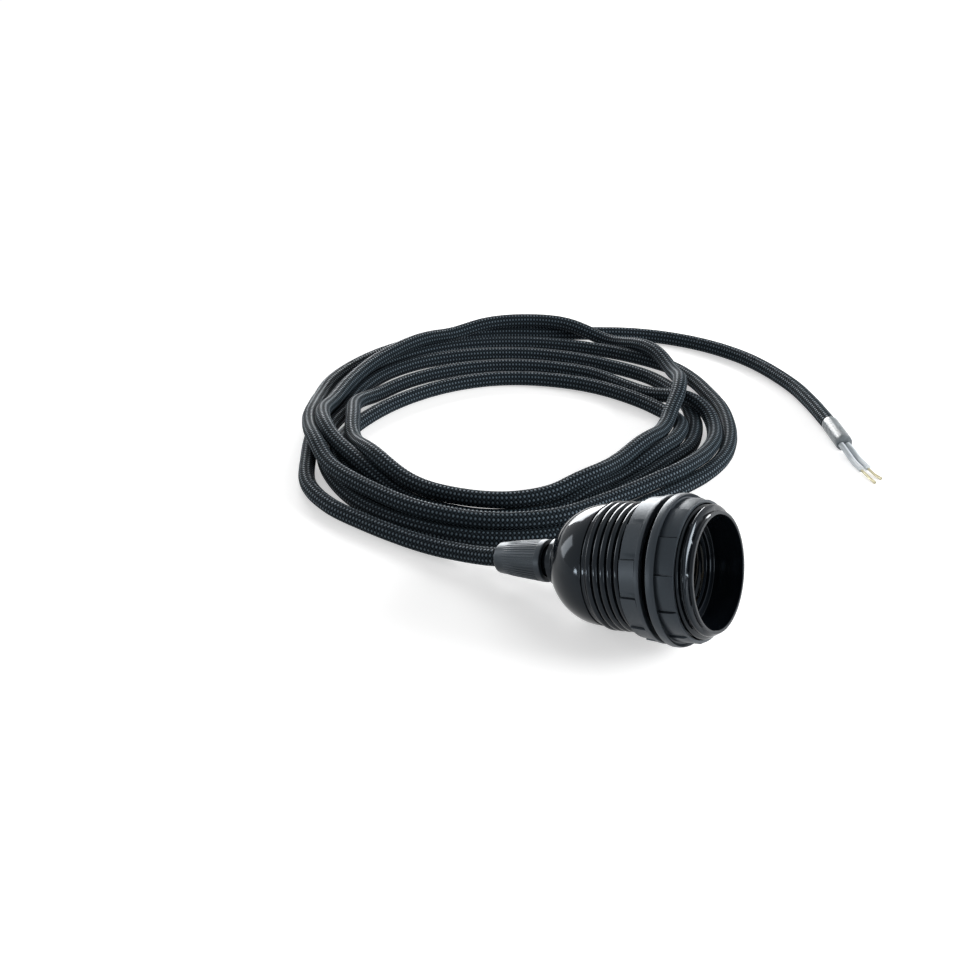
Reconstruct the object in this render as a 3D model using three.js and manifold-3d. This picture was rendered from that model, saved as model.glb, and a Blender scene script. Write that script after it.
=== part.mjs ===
// Pendant cord set: a screw-base lamp holder with two shade rings on a braided cord.
// Millimetres, +Z up. The holder leans back on its dome with the mouth along +X, steadied by
// its stiff cord, which lies coiled behind it. The origin is under the middle of the holder's box.
import * as THREE from 'three';
import * as BufferGeometryUtils from 'three/addons/utils/BufferGeometryUtils.js';
import Module from 'manifold-3d';

const wasm = await Module();
wasm.setup();

// Clearance between pieces that touch
const GAP = 0.3;

// Facets round a turned piece
const ROUND = 36;
const SMALL_ROUND = 16;

// Skirt: the moulded tube with the shade thread outside and the lamp thread inside
const THREAD_RADIUS = 20;
const THREAD_DEPTH = 1.2;
const THREAD_PITCH = 2.5;
const FIRST_CREST = 2.1;
const RIM_STEP = 0.65;
const RIM_WALL = 1.1;
const RIM_CHAMFER = 0.4;
const SKIRT_LENGTH = 36.1;
const COLLAR_DEPTH = 9.6;
const ENTRY_STEP = 1.2;
const ENTRY_DEPTH = 11;
const LAMP_THREAD_MAJOR = 13.4;
const LAMP_THREAD_MINOR = 12.5;
const LAMP_THREAD_PITCH = 3.6;
const LAMP_THREAD_TURNS = 4;
const CHAMBER_WALL = 2.8;

// Shade rings, measured back from the rim, and how far they stand out from the thread
const RING_BODY_FRONT = 4.5;
const FRONT_FLANGE_AT = 10.5;
const FRONT_FLANGE_THICK = 2.05;
const FRONT_FLANGE_HEIGHT = 2.75;
const FRONT_GRIP_HEIGHT = 0.9;
const SHADE_GAP = 2.35;
const REAR_FLANGE_THICK = 1.2;
const REAR_FLANGE_HEIGHT = 2.1;
const REAR_GRIP_HEIGHT = 1.35;
const REAR_GRIP_TAPER = 0.4;
const REAR_GRIP_LENGTH = 5.9;
const RING_CHAMFER = 0.35;
const GRIPS = 12;
const GRIP_FACETS = 5;
const GRIP_STEP = 0.55;

// Dome cap with its neck
const DOME_RADIUS = 18.95;
const DOME_STRAIGHT = 0.8;
const DOME_DEPTH = 18;
const DOME_WALL = 2.2;
const DOME_ARC_STEPS = 8;
const SPIGOT_WALL = 2.2;
const NECK_RADIUS = 7.7;
const NECK_LENGTH = 2.2;
const NECK_CHAMFER = 0.5;

// Cord grip: a threaded stem with jaws, and the ribbed nut that closes them
const STEM_RADIUS = 5.1;
const STEM_INSIDE = 6.4;
const STEM_OUTSIDE = 8.8;
const JAW_LENGTH = 4.6;
const JAW_RADIUS = 4.3;
const JAW_SLOT = 1.0;
const NUT_STAND_OFF = 2.8;
const NUT_LENGTH = 19;
const NUT_FRONT_RADIUS = 6.9;
const NUT_REAR_RADIUS = 5.0;
const NUT_BAND = 2.2;
const NUT_ROUNDING = 0.8;
const NUT_RIBS = 30;
const NUT_RIB_HEIGHT = 0.25;

// Contact block and what is fixed to it
const BLOCK_THICK = 7.2;
const POST_OFFSET = 6.5;
const POST_WIDTH = 6.2;
const POST_HEIGHT = 6;
const POST_LENGTH = 6.8;
const WIRE_HOLE_RADIUS = 1.2;
const WIRE_HOLE_DEPTH = 3;
const CONTACT_HOLE_DEPTH = 2.8;
const SCREW_RADIUS = 1.1;
const SCREW_HEAD_RADIUS = 2.1;
const SCREW_HEAD_THICK = 1.2;
const SCREW_CLEARANCE = 0.3;
const SCREW_SLOT_WIDTH = 0.6;
const SCREW_SLOT_DEPTH = 0.5;
const CLAMP_SCREW_FROM_REAR = 1.9;
const CLAMP_SCREW_RADIUS = 0.9;
const STRIP_THICK = 0.5;
const STRIP_WIDTH = 6;
const TONGUE_RISE = 4.6;
const TONGUE_REACH = 1.2;
const BLADE_HEIGHT = 6.5;
const BLADE_FROM_THREAD = 0.4;

// Cord, and its two cores where the braid is stripped back
const CORD_DIAMETER = 6.2;
const CORD_SIDES = 10;
const CORE_DIAMETER = 2.3;
const CORE_SIDES = 8;
const COPPER_DIAMETER = 1.1;
const SHEATH_INSIDE = 11.5;
const SLEEVE_DIAMETER = 6.8;
const BORE_CLEARANCE = 0.35;

// How far the holder leans back on its dome
const LEAN_BACK_DEG = 15;

// Coil of cord on the surface
const COIL_X = -94.2;
const COIL_Y = 100.6;
const COIL_OUTER = 87.5;
const COIL_INNER = 52;
const COIL_HEIGHT = 16;
const COIL_ROUNDING = 5;
const COIL_FACETS = 44;
const LEAD_MEETS_COIL_DEG = -125;
const TAIL_MEETS_COIL_DEG = 124;
const TAIL_LEAVES_COIL_DEG = 113;

const LIE = CORD_DIAMETER / 2 + 0.1;

// Where the lead lies between the nut and the coil, and the tail between the coil and its end
const LEAD_ROUTE = [
  [-49, 0.3, 5.7], [-57, 0.6, 4.1], [-66, 0.2, LIE + 0.2], [-78, 0, LIE],
  [-96, 1, LIE], [-115, 4, LIE], [-131, 12, LIE],
];
const TAIL_ROUTE = [
  [-113.5, 196.5, LIE], [-97.5, 208.5, LIE], [-79, 215.8, LIE], [-58.5, 217, LIE],
  [-36.5, 211.4, LIE], [-11.9, 196.2, LIE], [1.7, 183.1, LIE], [15.2, 167.4, LIE],
];
const SLEEVE_ROUTE = [[15.6, 166.9, SLEEVE_DIAMETER / 2], [26.6, 152.3, SLEEVE_DIAMETER / 2]];
const CORE_ROUTES = {
  live: [[25.8, 151.0, 3.2], [29.3, 147.6, 2.3], [33.3, 143.4, 1.3], [38.2, 138.4, 1.3]],
  neutral: [[27.75, 152.45, 3.2], [31.4, 149.4, 2.3], [35.0, 145.8, 1.4], [40.0, 141.0, 1.3]],
};
const COPPER_ROUTES = {
  live: [[38.4, 138.2, 1.0], [42.0, 135.0, 0.7], [45.6, 131.8, 0.6]],
  neutral: [[40.2, 140.8, 1.0], [43.4, 138.2, 0.7], [46.6, 136.2, 0.6]],
};

// Radii that follow from the thread
const THREAD_ROOT = THREAD_RADIUS - THREAD_DEPTH;
const RIM_RADIUS = THREAD_ROOT - RIM_STEP;
const COLLAR_BORE = RIM_RADIUS - RIM_WALL;
const ENTRY_BORE = LAMP_THREAD_MAJOR + ENTRY_STEP;
const CHAMBER_RADIUS = THREAD_ROOT - CHAMBER_WALL;
const RING_BORE = THREAD_RADIUS + GAP;

// Stations along the holder, measured back from the rim
const FRONT_FLANGE_REAR = FRONT_FLANGE_AT + FRONT_FLANGE_THICK;
const REAR_FLANGE_AT = FRONT_FLANGE_REAR + SHADE_GAP;
const REAR_FLANGE_REAR = REAR_FLANGE_AT + REAR_FLANGE_THICK;
const REAR_RING_END = REAR_FLANGE_REAR + REAR_GRIP_LENGTH;
const LEDGE_AT = ENTRY_DEPTH + LAMP_THREAD_PITCH * (LAMP_THREAD_TURNS - 0.5);
const BLOCK_FRONT = LEDGE_AT + GAP;
const BLOCK_REAR = BLOCK_FRONT + BLOCK_THICK;
const DOME_FRONT = SKIRT_LENGTH + GAP;
const SPIGOT_FRONT = BLOCK_REAR + GAP;
const NECK_START = domeStation(NECK_RADIUS);
const NECK_END = NECK_START + NECK_LENGTH;
const NUT_FRONT = NECK_END + NUT_STAND_OFF;
const NUT_REAR = NUT_FRONT + NUT_LENGTH;
const STEM_FRONT = NECK_END - STEM_INSIDE;
const STEM_THREAD_END = NECK_END + STEM_OUTSIDE;
const STEM_END = STEM_THREAD_END + JAW_LENGTH;
const POST_FRONT = BLOCK_REAR + GAP;
const POST_REAR = POST_FRONT + POST_LENGTH;
const SHEATH_FRONT = STEM_FRONT - GAP - (SHEATH_INSIDE - STEM_INSIDE);

const THREAD_TURNS = Math.floor((SKIRT_LENGTH - FIRST_CREST) / THREAD_PITCH + 0.5);
const LAST_CREST = FIRST_CREST + THREAD_PITCH * (THREAD_TURNS - 1) + THREAD_PITCH / 4;

const object = new THREE.Group();
const holder = new THREE.Group();
object.add(holder);

const FINISH = {
  glossBlack: { color: 0x16191d, roughness: 0.18, metalness: 0 },
  satinBlack: { color: 0x2a2f35, roughness: 0.5, metalness: 0 },
  blockWhite: { color: 0xd8d4c8, roughness: 0.6, metalness: 0 },
  brass: { color: 0xb8904a, roughness: 0.35, metalness: 1 },
  steel: { color: 0xa8abad, roughness: 0.35, metalness: 1 },
  braid: { color: 0x1c2127, roughness: 0.85, metalness: 0 },
  sleeve: { color: 0x9aa0a4, roughness: 0.4, metalness: 0 },
  coreBrown: { color: 0x5a3a24, roughness: 0.5, metalness: 0 },
  coreBlue: { color: 0x2c4f8a, roughness: 0.5, metalness: 0 },
  corePale: { color: 0xd6d8d6, roughness: 0.5, metalness: 0 },
  copper: { color: 0xc9a778, roughness: 0.35, metalness: 1 },
};

function addMesh(group, name, geometry, finish) {
  const mesh = new THREE.Mesh(geometry, new THREE.MeshStandardMaterial(FINISH[finish]));
  mesh.name = name;
  group.add(mesh);
  return mesh;
}

// A point given as [back from the rim, radius] in the lathe's own plane
function onLathe([back, radius]) {
  return new THREE.Vector2(radius, -back);
}

// Turns a closed profile about the holder's axis; lift(angle, point) raises a point's radius
function turned(profile, facets = ROUND, lift = null) {
  const points = [...profile, profile[0]].map(onLathe);
  const lathe = new THREE.LatheGeometry(points, facets);
  if (lift) {
    const place = lathe.attributes.position;
    for (let i = 0; i < place.count; i += 1) {
      const facet = Math.floor(i / points.length) % facets;
      const extra = lift(facet, profile[(i % points.length) % profile.length]);
      const radius = Math.hypot(place.getX(i), place.getZ(i));
      const grow = (radius + extra) / radius;
      place.setXYZ(i, place.getX(i) * grow, place.getY(i), place.getZ(i) * grow);
    }
  }
  lathe.rotateZ(-Math.PI / 2);
  return facingOut(lathe);
}

function facingOut(geometry) {
  const bare = geometry.clone();
  bare.deleteAttribute('normal');
  bare.deleteAttribute('uv');
  const merged = BufferGeometryUtils.mergeVertices(bare, 1e-4);
  if (enclosedVolume(merged) < 0) {
    merged.setIndex([...merged.index.array].reverse());
  }
  merged.computeVertexNormals();
  return merged;
}

function enclosedVolume(geometry) {
  const place = geometry.attributes.position;
  const [a, b, c] = [new THREE.Vector3(), new THREE.Vector3(), new THREE.Vector3()];
  let volume = 0;
  for (let i = 0; i < geometry.index.count; i += 3) {
    a.fromBufferAttribute(place, geometry.index.getX(i));
    b.fromBufferAttribute(place, geometry.index.getX(i + 1));
    c.fromBufferAttribute(place, geometry.index.getX(i + 2));
    volume += a.dot(b.cross(c)) / 6;
  }
  return volume;
}

// Joining and cutting
function toSolid(geometry) {
  const closed = facingOut(geometry);
  const mesh = new wasm.Mesh({
    numProp: 3,
    vertProperties: new Float32Array(closed.attributes.position.array),
    triVerts: new Uint32Array(closed.index.array),
  });
  return new wasm.Manifold(mesh);
}

function toGeometry(solid) {
  const mesh = solid.getMesh();
  const geometry = new THREE.BufferGeometry();
  geometry.setAttribute('position', new THREE.BufferAttribute(new Float32Array(mesh.vertProperties), 3));
  geometry.setIndex([...mesh.triVerts]);
  geometry.computeVertexNormals();
  return geometry;
}

function cutFrom(geometry, ...tools) {
  return toGeometry(tools.reduce((solid, tool) => solid.subtract(toSolid(tool)), toSolid(geometry)));
}

function joined(geometry, ...others) {
  return toGeometry(others.reduce((solid, other) => solid.add(toSolid(other)), toSolid(geometry)));
}

// A rod along the holder's axis, between two stations behind the rim
function rodBack(radius, from, to, y = 0, facets = SMALL_ROUND) {
  const rod = new THREE.CylinderGeometry(radius, radius, to - from, facets);
  rod.rotateZ(Math.PI / 2);
  rod.translate(-(from + to) / 2, y, 0);
  return rod;
}

// A rod across the holder, along Y
function rodAcross(radius, back, fromY, toY, facets = SMALL_ROUND) {
  const rod = new THREE.CylinderGeometry(radius, radius, Math.abs(toY - fromY), facets);
  rod.translate(-back, (fromY + toY) / 2, 0);
  return rod;
}

function block(lengthBack, width, height, from, y) {
  const box = new THREE.BoxGeometry(lengthBack, width, height);
  box.translate(-(from + lengthBack / 2), y, 0);
  return box;
}

// A tube of cord, core or wire along hand-laid points
function tube(points, diameter, sides, steps) {
  const section = new THREE.Shape();
  for (let i = 0; i < sides; i += 1) {
    const turn = (2 * Math.PI * (i + 0.5)) / sides;
    const corner = [(diameter / 2) * Math.cos(turn), (diameter / 2) * Math.sin(turn)];
    if (i === 0) {
      section.moveTo(...corner);
    } else {
      section.lineTo(...corner);
    }
  }
  section.closePath();
  const path = new THREE.CatmullRomCurve3(points.map((p) => new THREE.Vector3(...p)));
  const geometry = new THREE.ExtrudeGeometry(section, { steps, extrudePath: path, bevelEnabled: false });
  return facingOut(geometry);
}

// Skirt
function threadCrests(first, pitch, turns, crestRadius, rootRadius) {
  const points = [];
  for (let turn = 0; turn < turns; turn += 1) {
    const middle = first + pitch * turn;
    points.push([middle - pitch * 0.42, rootRadius]);
    points.push([middle - pitch * 0.25, crestRadius]);
    points.push([middle + pitch * 0.25, crestRadius]);
  }
  return points;
}

function makeSkirt() {
  const outside = [
    [0, RIM_RADIUS - RIM_CHAMFER],
    [RIM_CHAMFER, RIM_RADIUS],
    ...threadCrests(FIRST_CREST, THREAD_PITCH, THREAD_TURNS, THREAD_RADIUS, THREAD_ROOT),
    [LAST_CREST + THREAD_DEPTH / 2, THREAD_ROOT],
    [SKIRT_LENGTH, THREAD_ROOT],
  ];
  const firstGroove = ENTRY_DEPTH + LAMP_THREAD_PITCH / 2;
  const inside = [
    [0, COLLAR_BORE],
    [COLLAR_DEPTH, COLLAR_BORE],
    [COLLAR_DEPTH, ENTRY_BORE],
    [ENTRY_DEPTH, ENTRY_BORE],
    ...threadCrests(firstGroove, LAMP_THREAD_PITCH, LAMP_THREAD_TURNS - 1,
      LAMP_THREAD_MAJOR, LAMP_THREAD_MINOR),
    [LEDGE_AT, LAMP_THREAD_MINOR],
    [LEDGE_AT, CHAMBER_RADIUS],
    [SKIRT_LENGTH, CHAMBER_RADIUS],
  ];
  return turned([...outside, ...inside.reverse()]);
}

addMesh(holder, 'threaded_skirt', makeSkirt(), 'glossBlack');

// Shade rings: each tooth ramps up and steps down
function ratchet(gripPoints) {
  return (facet, point) => {
    const onGrip = gripPoints.includes(point);
    return onGrip ? (GRIP_STEP * (facet % GRIP_FACETS)) / (GRIP_FACETS - 1) : 0;
  };
}

function makeFrontRing() {
  const gripRadius = RING_BORE + FRONT_GRIP_HEIGHT;
  const flangeRadius = RING_BORE + FRONT_FLANGE_HEIGHT;
  const grip = [
    [FRONT_FLANGE_AT, gripRadius],
    [RING_BODY_FRONT + RING_CHAMFER, gripRadius],
    [RING_BODY_FRONT, gripRadius - RING_CHAMFER],
  ];
  const profile = [
    [RING_BODY_FRONT, RING_BORE],
    [FRONT_FLANGE_REAR, RING_BORE],
    [FRONT_FLANGE_REAR, flangeRadius - RING_CHAMFER],
    [FRONT_FLANGE_REAR - RING_CHAMFER, flangeRadius],
    [FRONT_FLANGE_AT + RING_CHAMFER, flangeRadius],
    [FRONT_FLANGE_AT, flangeRadius - RING_CHAMFER],
    ...grip,
  ];
  return turned(profile, GRIPS * GRIP_FACETS, ratchet(grip));
}

function makeRearRing() {
  const gripRadius = RING_BORE + REAR_GRIP_HEIGHT;
  const flangeRadius = RING_BORE + REAR_FLANGE_HEIGHT;
  const grip = [
    [REAR_RING_END, gripRadius - REAR_GRIP_TAPER - RING_CHAMFER],
    [REAR_RING_END - RING_CHAMFER, gripRadius - REAR_GRIP_TAPER],
    [REAR_FLANGE_REAR, gripRadius],
  ];
  const profile = [
    [REAR_RING_END, RING_BORE],
    ...grip,
    [REAR_FLANGE_REAR, flangeRadius],
    [REAR_FLANGE_AT + RING_CHAMFER, flangeRadius],
    [REAR_FLANGE_AT, flangeRadius - RING_CHAMFER],
    [REAR_FLANGE_AT, RING_BORE],
  ];
  return turned(profile, GRIPS * GRIP_FACETS, ratchet(grip));
}

addMesh(holder, 'shade_ring_front', makeFrontRing(), 'satinBlack');
addMesh(holder, 'shade_ring_rear', makeRearRing(), 'satinBlack');

// Dome cap: an elliptical shell that narrows to the neck
function domeStation(radius) {
  const share = Math.sqrt(1 - (radius / DOME_RADIUS) ** 2);
  return DOME_FRONT + DOME_STRAIGHT + DOME_DEPTH * share;
}

function domeArc(fromRadius, toRadius, offset) {
  const start = Math.asin(fromRadius / DOME_RADIUS);
  const end = Math.asin(toRadius / DOME_RADIUS);
  const points = [];
  for (let i = 0; i <= DOME_ARC_STEPS; i += 1) {
    const turn = start + ((end - start) * i) / DOME_ARC_STEPS;
    points.push([
      DOME_FRONT + DOME_STRAIGHT + (DOME_DEPTH - offset) * Math.cos(turn),
      (DOME_RADIUS - offset) * Math.sin(turn),
    ]);
  }
  return points;
}

function makeDome() {
  const neckBore = STEM_RADIUS + GAP;
  const spigotRadius = CHAMBER_RADIUS - GAP;
  const outside = [
    [SPIGOT_FRONT, spigotRadius],
    [DOME_FRONT, spigotRadius],
    [DOME_FRONT, DOME_RADIUS],
    ...domeArc(DOME_RADIUS, NECK_RADIUS, 0),
    [NECK_END - NECK_CHAMFER, NECK_RADIUS],
    [NECK_END, NECK_RADIUS - NECK_CHAMFER],
    [NECK_END, neckBore],
  ];
  const inside = [
    ...domeArc(neckBore * DOME_RADIUS / (DOME_RADIUS - DOME_WALL), DOME_RADIUS, DOME_WALL),
    [DOME_FRONT + DOME_STRAIGHT, spigotRadius - SPIGOT_WALL],
    [SPIGOT_FRONT, spigotRadius - SPIGOT_WALL],
  ];
  return turned([...outside, ...inside]);
}

addMesh(holder, 'dome_cap', makeDome(), 'glossBlack');

// Cord grip
function makeStem() {
  const bore = CORD_DIAMETER / 2 + BORE_CLEARANCE;
  const stem = turned([
    [STEM_FRONT, bore],
    [STEM_FRONT, STEM_RADIUS],
    [STEM_THREAD_END, STEM_RADIUS],
    [STEM_END, JAW_RADIUS],
    [STEM_END, bore],
  ], SMALL_ROUND);
  const slotLength = JAW_LENGTH * 2;
  const slot = new THREE.BoxGeometry(slotLength, JAW_SLOT, STEM_RADIUS * 3);
  slot.translate(-(STEM_END - JAW_LENGTH + slotLength / 2), 0, 0);
  return cutFrom(stem, slot);
}

function makeNut() {
  const threadBore = STEM_RADIUS + GAP;
  const exitBore = CORD_DIAMETER / 2 + BORE_CLEARANCE;
  const ribs = [
    [NUT_REAR - NUT_ROUNDING, NUT_REAR_RADIUS],
    [NUT_FRONT + NUT_BAND, NUT_FRONT_RADIUS - NUT_RIB_HEIGHT],
  ];
  const profile = [
    [NUT_FRONT, threadBore],
    [STEM_THREAD_END, threadBore],
    [STEM_END + GAP, JAW_RADIUS + GAP],
    [STEM_END + GAP, exitBore],
    [NUT_REAR, exitBore],
    [NUT_REAR, NUT_REAR_RADIUS - NUT_ROUNDING],
    ...ribs,
    [NUT_FRONT + NUT_BAND, NUT_FRONT_RADIUS],
    [NUT_FRONT, NUT_FRONT_RADIUS],
  ];
  const lift = (facet, point) => (ribs.includes(point) && facet % 2 ? NUT_RIB_HEIGHT : 0);
  return turned(profile, NUT_RIBS * 2, lift);
}

addMesh(holder, 'grip_stem', makeStem(), 'glossBlack');
addMesh(holder, 'grip_nut', makeNut(), 'satinBlack');

// Contact block, terminals, contacts and screws; one side is live and the other neutral
const SIDES = { live: -1, neutral: 1 };

function makeBlock() {
  const body = turned([
    [BLOCK_FRONT, 1], [BLOCK_REAR, 1], [BLOCK_REAR, CHAMBER_RADIUS - GAP], [BLOCK_FRONT, CHAMBER_RADIUS - GAP],
  ]);
  const holes = Object.values(SIDES).map((side) => rodBack(
    SCREW_RADIUS + SCREW_CLEARANCE, BLOCK_FRONT - 1, BLOCK_REAR + 1, side * POST_OFFSET));
  return cutFrom(body, ...holes);
}

function makePost(side) {
  const y = side * POST_OFFSET;
  const clampAt = POST_REAR - CLAMP_SCREW_FROM_REAR;
  const clampReach = CLAMP_SCREW_RADIUS + SCREW_CLEARANCE;
  return cutFrom(
    block(POST_LENGTH, POST_WIDTH, POST_HEIGHT, POST_FRONT, y),
    rodBack(SCREW_RADIUS + SCREW_CLEARANCE, POST_FRONT - 1, POST_FRONT + CONTACT_HOLE_DEPTH, y),
    rodBack(WIRE_HOLE_RADIUS, POST_REAR - WIRE_HOLE_DEPTH, POST_REAR + 1, y),
    rodAcross(clampReach, clampAt, y, side * (POST_OFFSET + POST_WIDTH)),
  );
}

// The screw through a contact strip and the block into its post
function makeContactScrew(side) {
  const y = side * POST_OFFSET;
  const headRear = BLOCK_FRONT - GAP - STRIP_THICK - GAP;
  const headFront = headRear - SCREW_HEAD_THICK;
  const head = rodBack(SCREW_HEAD_RADIUS, headFront, headRear, y);
  const shank = rodBack(SCREW_RADIUS, headRear - 0.5, POST_FRONT + CONTACT_HOLE_DEPTH - GAP, y);
  const slot = new THREE.BoxGeometry(SCREW_SLOT_DEPTH * 2, SCREW_SLOT_WIDTH, SCREW_HEAD_RADIUS * 3);
  slot.translate(-headFront, y, 0);
  return cutFrom(joined(head, shank), slot);
}

// The screw that clamps a wire in its post
function makeClampScrew(side) {
  const back = POST_REAR - CLAMP_SCREW_FROM_REAR;
  const face = POST_OFFSET + POST_WIDTH / 2;
  const tip = POST_OFFSET + COPPER_DIAMETER / 2 + GAP;
  const headNear = face + GAP;
  const headFar = headNear + SCREW_HEAD_THICK;
  const head = rodAcross(CLAMP_SCREW_RADIUS * 1.6, back, side * headNear, side * headFar);
  const shank = rodAcross(CLAMP_SCREW_RADIUS, back, side * tip, side * (headNear + 0.5));
  const slot = new THREE.BoxGeometry(SCREW_SLOT_WIDTH, SCREW_SLOT_DEPTH * 2, SCREW_HEAD_RADIUS * 3);
  slot.translate(-back, side * headFar, 0);
  return cutFrom(joined(head, shank), slot);
}

// A bent strip: its middle line in the plane of back and Y, given a thickness and a width
function bentStrip(line, screwY) {
  const points = line.map(([back, y]) => new THREE.Vector2(-back, y));
  const left = [];
  const right = [];
  points.forEach((point, i) => {
    const before = points[Math.max(i - 1, 0)];
    const after = points[Math.min(i + 1, points.length - 1)];
    const along = after.clone().sub(before).normalize();
    const across = new THREE.Vector2(-along.y, along.x).multiplyScalar(STRIP_THICK / 2);
    left.push(point.clone().add(across));
    right.push(point.clone().sub(across));
  });
  const shape = new THREE.Shape([...left, ...right.reverse()]);
  const strip = new THREE.ExtrudeGeometry(shape, { depth: STRIP_WIDTH, bevelEnabled: false });
  strip.translate(0, 0, -STRIP_WIDTH / 2);
  const hole = rodBack(SCREW_RADIUS + SCREW_CLEARANCE, BLOCK_FRONT - GAP - STRIP_THICK - 1,
    BLOCK_FRONT + 1, screwY);
  return cutFrom(strip, hole);
}

function makeCentreContact() {
  const foot = BLOCK_FRONT - GAP - STRIP_THICK / 2;
  const edge = POST_OFFSET + SCREW_HEAD_RADIUS + 0.6;
  const bend = POST_OFFSET - SCREW_HEAD_RADIUS - 0.6;
  return bentStrip([
    [foot, -edge],
    [foot, -bend],
    [foot - TONGUE_RISE * 0.9, -TONGUE_REACH],
    [foot - TONGUE_RISE, 0],
    [foot - TONGUE_RISE * 0.9, TONGUE_REACH],
  ], -POST_OFFSET);
}

function makeSideContact() {
  const foot = BLOCK_FRONT - GAP - STRIP_THICK / 2;
  const inner = POST_OFFSET - SCREW_HEAD_RADIUS - 0.6;
  const blade = LAMP_THREAD_MINOR - BLADE_FROM_THREAD - STRIP_THICK / 2;
  return bentStrip([
    [foot, inner],
    [foot, blade - 0.7],
    [foot - 0.7, blade - STRIP_THICK / 2],
    [foot - BLADE_HEIGHT * 0.6, blade - 0.8],
    [foot - BLADE_HEIGHT, blade - 0.3],
  ], POST_OFFSET);
}

addMesh(holder, 'contact_block', makeBlock(), 'blockWhite');
addMesh(holder, 'centre_contact', makeCentreContact(), 'brass');
addMesh(holder, 'side_contact', makeSideContact(), 'brass');
for (const [name, side] of Object.entries(SIDES)) {
  addMesh(holder, `terminal_post_${name}`, makePost(side), 'brass');
  addMesh(holder, `contact_screw_${name}`, makeContactScrew(side), 'steel');
  addMesh(holder, `clamp_screw_${name}`, makeClampScrew(side), 'steel');
}

// The cord's stripped end inside the holder
function insideWire(side) {
  const post = side * POST_OFFSET;
  const start = side * CORE_DIAMETER * 0.55;
  const coreEnd = POST_REAR + GAP;
  const sheath = SHEATH_FRONT - GAP;
  const core = [
    [-sheath, start, 0],
    [-(sheath * 0.7 + coreEnd * 0.3), start * 1.3, 0],
    [-(sheath * 0.3 + coreEnd * 0.7), post * 0.95, 0],
    [-coreEnd, post, 0],
  ];
  const copper = [[-(coreEnd - GAP), post, 0], [-(POST_REAR - WIRE_HOLE_DEPTH + GAP), post, 0]];
  return { core, copper };
}

addMesh(holder, 'cord_end_inside',
  rodBack(CORD_DIAMETER / 2, SHEATH_FRONT, NUT_REAR - GAP, 0, CORD_SIDES), 'braid');
for (const [name, side] of Object.entries(SIDES)) {
  const wire = insideWire(side);
  const colour = name === 'live' ? 'coreBrown' : 'coreBlue';
  addMesh(holder, `inside_core_${name}`, tube(wire.core, CORE_DIAMETER, CORE_SIDES, 6), colour);
  addMesh(holder, `inside_copper_${name}`, tube(wire.copper, COPPER_DIAMETER, CORE_SIDES, 1), 'copper');
}

// Lay the holder on the surface, with the origin under the middle of its box
holder.rotation.y = -THREE.MathUtils.degToRad(LEAN_BACK_DEG);
holder.updateMatrixWorld(true);
const resting = new THREE.Box3().setFromObject(holder, true);
holder.position.set(-(resting.min.x + resting.max.x) / 2, 0, -resting.min.z);
holder.updateMatrixWorld(true);

// The free cord: lead, coil and tail
const exit = holder.localToWorld(new THREE.Vector3(-(NUT_REAR + GAP), 0, 0));
const straight = holder.localToWorld(new THREE.Vector3(-(NUT_REAR + GAP + CORD_DIAMETER / 2), 0, 0));

function besideCoil(degrees) {
  const turn = THREE.MathUtils.degToRad(degrees);
  const reach = COIL_OUTER + CORD_DIAMETER / 2 + GAP;
  return [COIL_X + reach * Math.cos(turn), COIL_Y + reach * Math.sin(turn), LIE];
}

function makeCoil() {
  const r = COIL_ROUNDING;
  const profile = [
    [COIL_INNER + r, 0], [COIL_OUTER - r, 0],
    [COIL_OUTER, r * 0.8], [COIL_OUTER, COIL_HEIGHT * 0.5],
    [COIL_OUTER - r * 1.6, COIL_HEIGHT], [COIL_INNER + r * 1.6, COIL_HEIGHT],
    [COIL_INNER, COIL_HEIGHT * 0.5], [COIL_INNER, r * 0.8],
  ];
  const points = [...profile, profile[0]].map(([radius, z]) => new THREE.Vector2(radius, z));
  const ring = new THREE.LatheGeometry(points, COIL_FACETS);
  ring.rotateX(Math.PI / 2);
  return facingOut(ring);
}

addMesh(object, 'cord_lead', tube(
  [exit.toArray(), straight.toArray(), ...LEAD_ROUTE, besideCoil(LEAD_MEETS_COIL_DEG)],
  CORD_DIAMETER, CORD_SIDES, 12), 'braid');
addMesh(object, 'cord_coil', makeCoil(), 'braid').position.set(COIL_X, COIL_Y, 0);
addMesh(object, 'cord_tail', tube(
  [besideCoil(TAIL_MEETS_COIL_DEG), besideCoil(TAIL_LEAVES_COIL_DEG), ...TAIL_ROUTE],
  CORD_DIAMETER, CORD_SIDES, 18), 'braid');

// The tail's end: a taped sleeve, two pale cores and their bare copper
addMesh(object, 'end_sleeve', tube(SLEEVE_ROUTE, SLEEVE_DIAMETER, CORD_SIDES, 1), 'sleeve');
for (const name of Object.keys(SIDES)) {
  addMesh(object, `end_core_${name}`, tube(CORE_ROUTES[name], CORE_DIAMETER, CORE_SIDES, 5), 'corePale');
  addMesh(object, `end_copper_${name}`, tube(COPPER_ROUTES[name], COPPER_DIAMETER, CORE_SIDES, 3), 'copper');
}

export default object;
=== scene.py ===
"""Dresses the pendant cord set: a threaded lamp holder with two shade rings, and its coiled cord."""
import logging
import math
from dataclasses import dataclass
from enum import Enum
from typing import Callable, Sequence

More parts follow.
